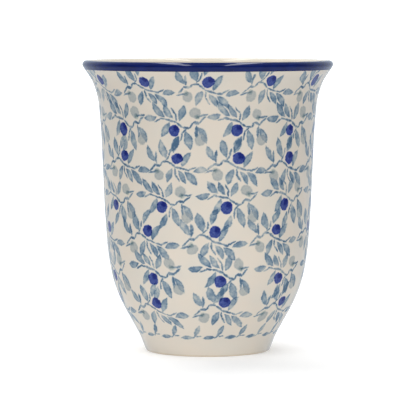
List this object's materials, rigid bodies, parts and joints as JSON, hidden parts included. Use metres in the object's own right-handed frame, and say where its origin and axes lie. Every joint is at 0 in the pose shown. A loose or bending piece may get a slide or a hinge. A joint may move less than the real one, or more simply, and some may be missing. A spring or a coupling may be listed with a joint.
{
  "type": "stoneware mug",
  "caption": "Handleless flared stoneware mug with a narrow foot, a blue lip band and cream glaze, for drinks; stands on its foot ring.",
  "frame": {"origin": "centre of the foot ring, on the surface the mug stands on", "axes": "+Z is the axis of the turned cup, from the foot to the mouth; X and Y are free, as the cup is round"},
  "size_m": [0.1, 0.1, 0.116],
  "materials": {
    "fired_clay": "matte",
    "decorated_glaze": "polished",
    "cobalt_glaze": "polished",
    "cream_glaze": "polished"
  },
  "bodies": {
    "root": {"clay_body": "fired_clay", "outer_glaze": "decorated_glaze", "cobalt_rim_band": "cobalt_glaze", "inner_glaze": "cream_glaze", "foot_recess_glaze": "cream_glaze"}
  },
  "joints": []
}
